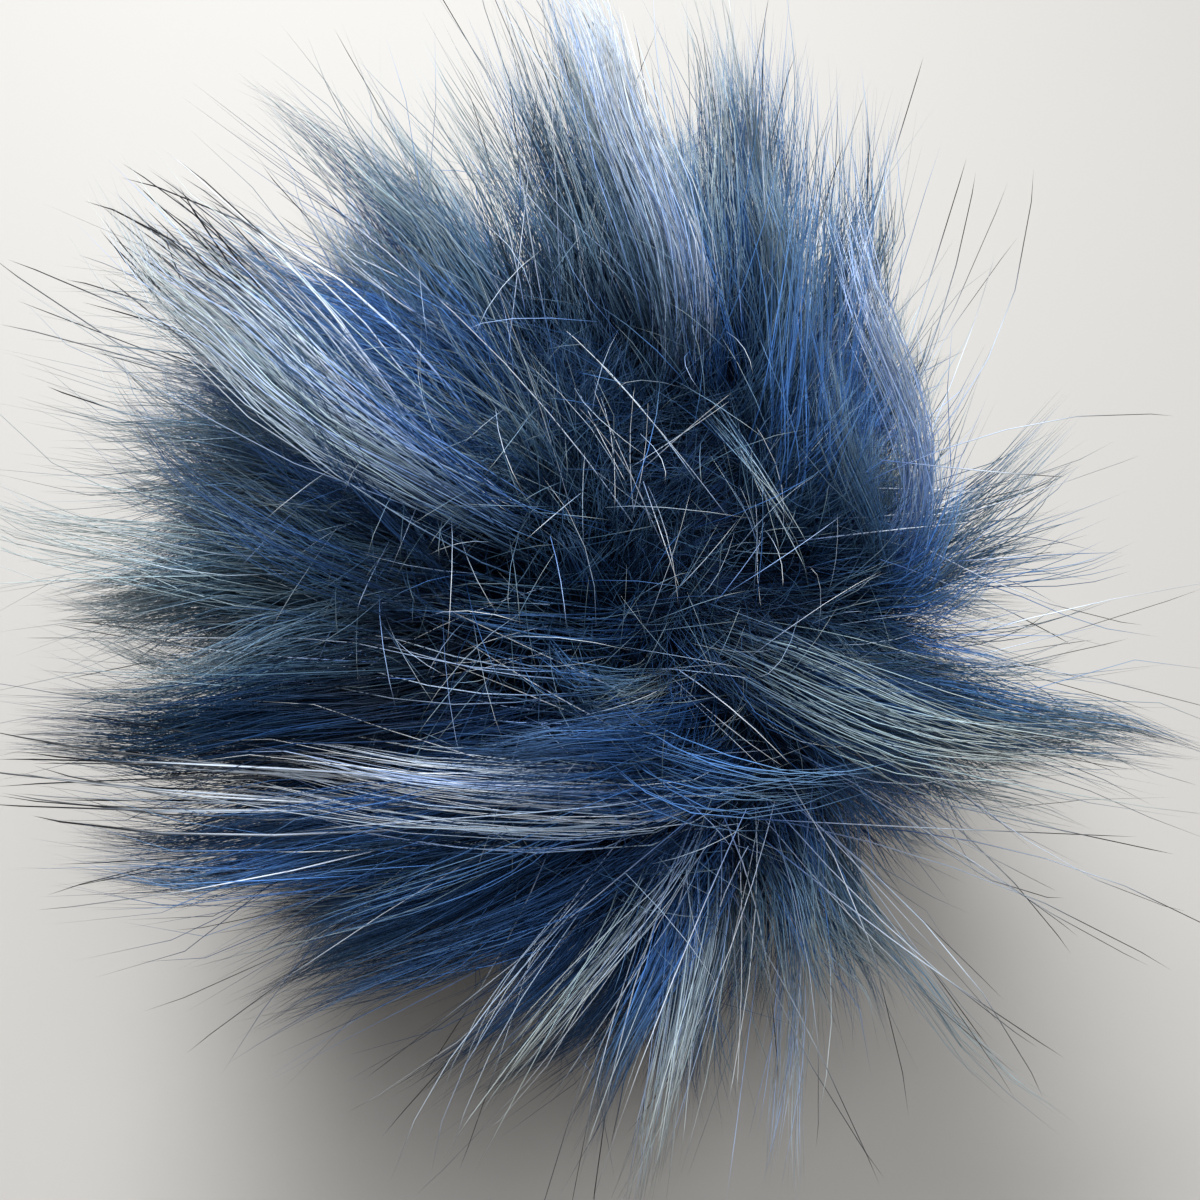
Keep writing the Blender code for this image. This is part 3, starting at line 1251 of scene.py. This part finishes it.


# In the tables from here to STRAYS, most bearings, drops, reaches and bows aren't set by hand: a
# separate program worked them out from places picked one by one. The other columns are given one by one.

# the upper left: a long silver lock over a soft slate lobe
UPPER_LEFT = (
    Lock(NAVY, (324, 13), (310, 64, 88), silver=100, over=SILVER, stream=1.1, gather=0.9, rise=8, bow=-8),
    Lock(SLATE, (302, 37), (292, 62, 81), gather=0.3, tousle=5, tangle=4),
    Lock(SLATE, (287, 38), (281, 64, 79), gather=0.3, tousle=5, tangle=4),
    Lock(SLATE, (314, 43), (301, 60, 83), gather=0.3, tousle=5, tangle=4),
    Lock(SLATE, (282, 39), (279, 70, 89), silver=64, over=SAGE, stream=2.2, gather=0.75, rise=1, bow=-7.5),
    Lock(ROYAL, (331, 36), (324, 54, 71), gather=0.3, tangle=3),
    Lock(DENIM, (319, 44), (313, 64, 75), gather=0.4, tangle=3),
)
# the top: slate fans and two silver locks
TOP = (
    Lock(SLATE, (336, 56), (326, 66, 85), silver=20, over=SAGE, stream=3, gather=0.7, bow=0.5),
    Lock(SLATE, (344, 61), (334, 66, 84), silver=16, over=SLATE, stream=3, gather=0.7, bow=-2.5),
    Lock(SLATE, (350, 64), (342, 66, 80), silver=16, over=STEEL, stream=3, gather=0.75),
    Lock(DENIM, (356, 71), (351, 66, 91), silver=20, over=STEEL, stream=2, gather=0.8),
    Lock(DENIM, (2, 70), (355, 64, 85), silver=8, over=STEEL, gather=0.7),
    Lock(STEEL, (22, 45), (358, 62, 89), silver=190, over=FROST, stream=1, gather=0.8, rise=11, bow=-9),
    Lock(DENIM, (21, 62), (8, 66, 86), silver=8, over=STEEL, gather=0.7),
    Lock(DENIM, (26, 66), (10, 66, 92), silver=20, over=SAGE, stream=1.5, gather=0.85),
    Lock(DENIM, (31, 78), (17, 60, 87), silver=8, over=STEEL, stream=2, gather=0.75),
)
# the upper right: a broad blue mass with a lavender edge
UPPER_RIGHT = (
    Lock(DENIM, (39, 78), (24, 60, 83), silver=6, over=STEEL, stream=2, gather=0.75),
    Lock(DENIM, (47, 78), (32, 56, 77), silver=6, over=STEEL, stream=2, gather=0.75),
    Lock(DENIM, (38, 45), (21, 56, 81), silver=28, over=DENIM, stream=4.5, gather=0.3, tangle=1.5),
    Lock(ROYAL, (62, 43), (29, 54, 74), silver=104, over=ROYAL, stream=4.5, gather=0.4, tangle=1.5),
    Lock(ROYAL, (87, 61), (32, 50, 73), silver=76, stream=1.9, gather=0.65, rise=6.5, bow=-5),
    Lock(SLATE, (64, 78), (53, 62, 70), silver=14, over=STEEL, stream=2.5, gather=0.6),
)
# the right: slate wisps and a pale green-grey lock
RIGHT = (
    Lock(SLATE, (81, 75), (73, 66, 75), silver=22, over=SLATE, stream=2, gather=0.85, bow=-4.5),
    Lock(DENIM, (88, 76), (85, 66, 73), silver=26, over=DENIM, stream=3),
    Lock(SLATE, (99, 67), (96, 66, 72), silver=20, over=SLATE, stream=3),
    Lock(NAVY, (107, 19), (109, 60, 77), silver=50, over=SAGE, stream=0.6, gather=0.9, rise=3, bow=4),
    Lock(SLATE, (105, 45), (105, 64, 87), silver=20, over=SLATE, stream=2.2, gather=0.6, bow=1),
    Lock(NAVY, (121, 78), (115, 64, 78), silver=8, over=STEEL, gather=0.88),
    Lock(DENIM, (184, 11), (118, 34, 68), silver=20, over=DENIM, stream=1.8, gather=0.6, rise=3, bow=9),
    Lock(SLATE, (136, 71), (139, 68, 98), silver=26, over=STEEL, stream=1, gather=0.93, bow=-8),
    Lock(NAVY, (129, 78), (132, 60, 61), gather=0.6),
)
# the bottom: three silver locks hanging over navy
BOTTOM = (
    Lock(NAVY, (160, 51), (193, 62, 77), silver=38, over=SILVER, stream=2.2, gather=0.7, bow=12.5),
    Lock(DENIM, (156, 62), (176, 66, 87), silver=76, over=SILVER, stream=2, gather=0.68, bow=14),
    Lock(NAVY, (142, 78), (162, 66, 87), silver=40, over=SILVER, stream=2.2, gather=0.75, bow=-3),
    Lock(NAVY, (156, 56), (181, 68, 82), gather=0.7),
)
# the lower left: navy wisps
LOWER_LEFT = (
    Lock(NAVY, (164, 37), (220, 58, 74), silver=10, over=ROYAL, gather=0.8),
    Lock(NAVY, (162, 45), (218, 66, 89), gather=0.92, tousle=2.4),
    Lock(NAVY, (160, 49), (204, 66, 80), gather=0.92, tousle=2.4),
    Lock(NAVY, (169, 31), (220, 50, 68), silver=8, over=ROYAL, gather=0.7),
    Lock(NAVY, (190, 33), (231, 62, 72), silver=6, over=STEEL, gather=0.8),
)
# the left: navy swept level, under a pale steel lock
LEFT = (
    Lock(NAVY, (143, 41), (244, 50, 67), silver=88, over=FROST, stream=1.8, gather=0.3, rise=6, bow=4.5),
    Lock(INK, (231, 26), (259, 68, 82), silver=18, over=STEEL, stream=1.6, gather=0.85),
    Lock(NAVY, (129, 11), (272, 42, 52), silver=32, over=DENIM, stream=2.6, gather=0.4, rise=2),
    Lock(NAVY, (162, 17), (258, 50, 59), silver=20, stream=2.6),
    Lock(NAVY, (195, 21), (251, 60, 69), gather=0.7),
    Lock(SLATE, (264, 26), (267, 66, 68), silver=6, over=SLATE, gather=0.6, tousle=5),
    Lock(NAVY, (208, 38), (241, 66, 75), silver=6, over=STEEL, gather=0.85),
    Lock(SLATE, (273, 35), (271, 72, 78), silver=6, over=STEEL, gather=0.7),
    Lock(SLATE, (284, 31), (276, 58, 62), gather=0.3, tousle=5, tangle=3),
)
# the tousled whorl above the crown: bearing and drop of each patch; ink patches paint the shade of its
# hollows
SLATE_PATCHES = ((340, 18), (332, 30))
HOLLOW_SHADE_PATCHES = (
    (2, 24), (15, 34), (30, 26), (44, 14), (350, 36), (66, 26), (80, 12),
    (88, 30), (318, 8), (140, 12), (48, 36), (76, 42), (104, 12),
)
WHORL = (
    *(matted(SLATE, *place) for place in SLATE_PATCHES),
    *(matted(INK, *place) for place in HOLLOW_SHADE_PATCHES),
)
FRONT_LOCKS = (*UPPER_LEFT, *TOP, *UPPER_RIGHT, *RIGHT, *BOTTOM, *LOWER_LEFT, *LEFT, *WHORL)
# how far the pile reaches in mm, by bearing
OUTLINE = (
    (0, 77), (32, 80), (43, 69), (59, 60), (79, 62), (96, 65), (109, 63), (120, 60), (137, 52),
    (150, 52), (159, 74), (180, 78), (188, 61), (202, 61), (233, 66), (264, 61), (280, 72),
    (297, 72), (301, 78), (312, 78), (318, 71), (326, 77), (336, 75), (342, 68), (349, 79),
)
# the black-tipped sprays at the upper left and at the left
SPRAYS = (
    Stray(GUARD, (308, 28), (311, 68, 90), hairs=54, spread=4.5, width=0.36),
    Stray(GUARD, (311, 34), (301, 74, 92), hairs=14, spread=5, width=0.32),
    Stray(GUARD, (189, 28), (255, 66, 91), hairs=24, spread=3, width=0.38, start=52),
    Stray(GUARD, (198, 35), (243, 70, 98), hairs=4, spread=3, width=0.22, start=52),
    Stray(GUARD, (339, 42), (321, 68, 81), hairs=6, spread=4, width=0.2),
)
# a few more black-tipped hairs round the rest of the edge
EDGE_HAIRS = (
    Stray(GUARD, (350, 50), (349, 68, 91), hairs=9, spread=7),
    Stray(GUARD, (10, 50), (0, 66, 89), hairs=10, spread=6),
    Stray(GUARD, (32, 53), (13, 68, 91), hairs=8, spread=7),
    Stray(GUARD, (49, 50), (29, 64, 86), hairs=10, spread=8),
    Stray(GUARD, (70, 55), (44, 72, 93), hairs=6, spread=7),
    Stray(GUARD, (77, 47), (77, 68, 80), hairs=12, spread=8),
    Stray(GUARD, (104, 42), (99, 72, 89), hairs=14, spread=9),
    Stray(GUARD, (127, 46), (118, 72, 94), hairs=12, spread=9),
    Stray(GUARD, (137, 50), (137, 70, 98), hairs=10, spread=4, width=0.19, start=48),
    Stray(GUARD, (147, 43), (151, 70, 89), hairs=5, spread=8, start=48),
    Stray(GUARD, (153, 44), (177, 68, 88), hairs=10, spread=7, start=48),
    Stray(GUARD, (162, 34), (199, 70, 87), hairs=7, spread=7, start=48),
    Stray(GUARD, (177, 28), (224, 70, 85), hairs=8, spread=7, start=48),
    Stray(GUARD, (256, 25), (266, 76, 84), hairs=12, spread=8),
)
# crisp pale hairs over the lower left
CRISP_HAIRS = (
    Stray(CREAM, (147, 37), (234, 52, 72), hairs=6, spread=3, width=0.17, bow=2),
    Stray(CREAM, (144, 46), (209, 44, 55), hairs=2, spread=2, width=0.17, bow=2),
    Stray(CREAM, (156, 22), (270, 22, 54), hairs=3, spread=3, width=0.14, bow=1),
    Stray(CREAM, (159, 30), (245, 46, 54), hairs=5, spread=4, width=0.15, bow=2),
    Stray(CREAM, (158, 43), (193, 62, 75), hairs=4, spread=5, start=48),
    Stray(CREAM, (146, 51), (170, 64, 84), hairs=5, spread=6, width=0.16, start=48),
)
# pale hairs that cross the whorl
CROSSING_HAIRS = (
    Stray(CREAM, (29, 13), (332, 40, 68), hairs=1, spread=0.5, width=0.17, bow=1),
    Stray(CREAM, (42, 24), (353, 34, 62), hairs=1, spread=0.5, width=0.17, bow=1),
    Stray(CREAM, (352, 10), (343, 42, 69), hairs=1, spread=0.5, width=0.13, bow=1),
    Stray(CREAM, (59, 25), (354, 36, 60), hairs=1, spread=0.5, width=0.15, bow=1),
    Stray(CREAM, (19, 22), (34, 30, 63), hairs=2, spread=1.5, width=0.12, bow=1),
    Stray(CREAM, (50, 14), (355, 26, 59), hairs=2, spread=2, width=0.12, bow=1),
    Stray(CREAM, (25, 15), (14, 30, 60), hairs=2, spread=1.5, width=0.11, bow=1),
    Stray(CREAM, (75, 33), (43, 32, 53), hairs=2, spread=1.5, width=0.12, bow=1),
    Stray(CREAM, (358, 35), (26, 13, 54), hairs=2, spread=1.5, width=0.12, bow=1),
    Stray(CREAM, (28, 19), (103, 13, 53), hairs=2, spread=1.2, width=0.11, bow=1),
    Stray(CREAM, (314, 38), (332, 13, 53), hairs=3, spread=1.5, width=0.13, bow=1),
    Stray(CREAM, (65, 29), (98, 26, 53), hairs=2, spread=1.5, width=0.11, bow=1),
    Stray(CREAM, (129, 17), (130, 34, 62), hairs=2, spread=1, width=0.13, bow=1),
    Stray(CREAM, (217, 7), (252, 30, 52), hairs=3, spread=2, width=0.12, bow=1),
    Stray(CREAM, (270, 6), (262, 30, 48), hairs=2, spread=2, width=0.12, bow=1),
    Stray(STEEL, (25, 41), (75, 28, 57), hairs=12, spread=2.2, width=0.12, start=48, bow=1),
)
STRAYS = (*SPRAYS, *EDGE_HAIRS, *CRISP_HAIRS, *CROSSING_HAIRS)


def main() -> None:
    """Build the pom pom piece by piece, then the studio round it."""
    pile = PileFinish().material()
    FurFoot().build(FootFinish().material())
    Fleece(FRONT_LOCKS, OUTLINE).build(pile)
    GuardHairs(STRAYS).build(pile)
    LooseHairs(OUTLINE).build(pile)
    Studio().build()


if __name__ == "__main__":
    logging.basicConfig(level=logging.INFO, format="%(message)s")
    main()
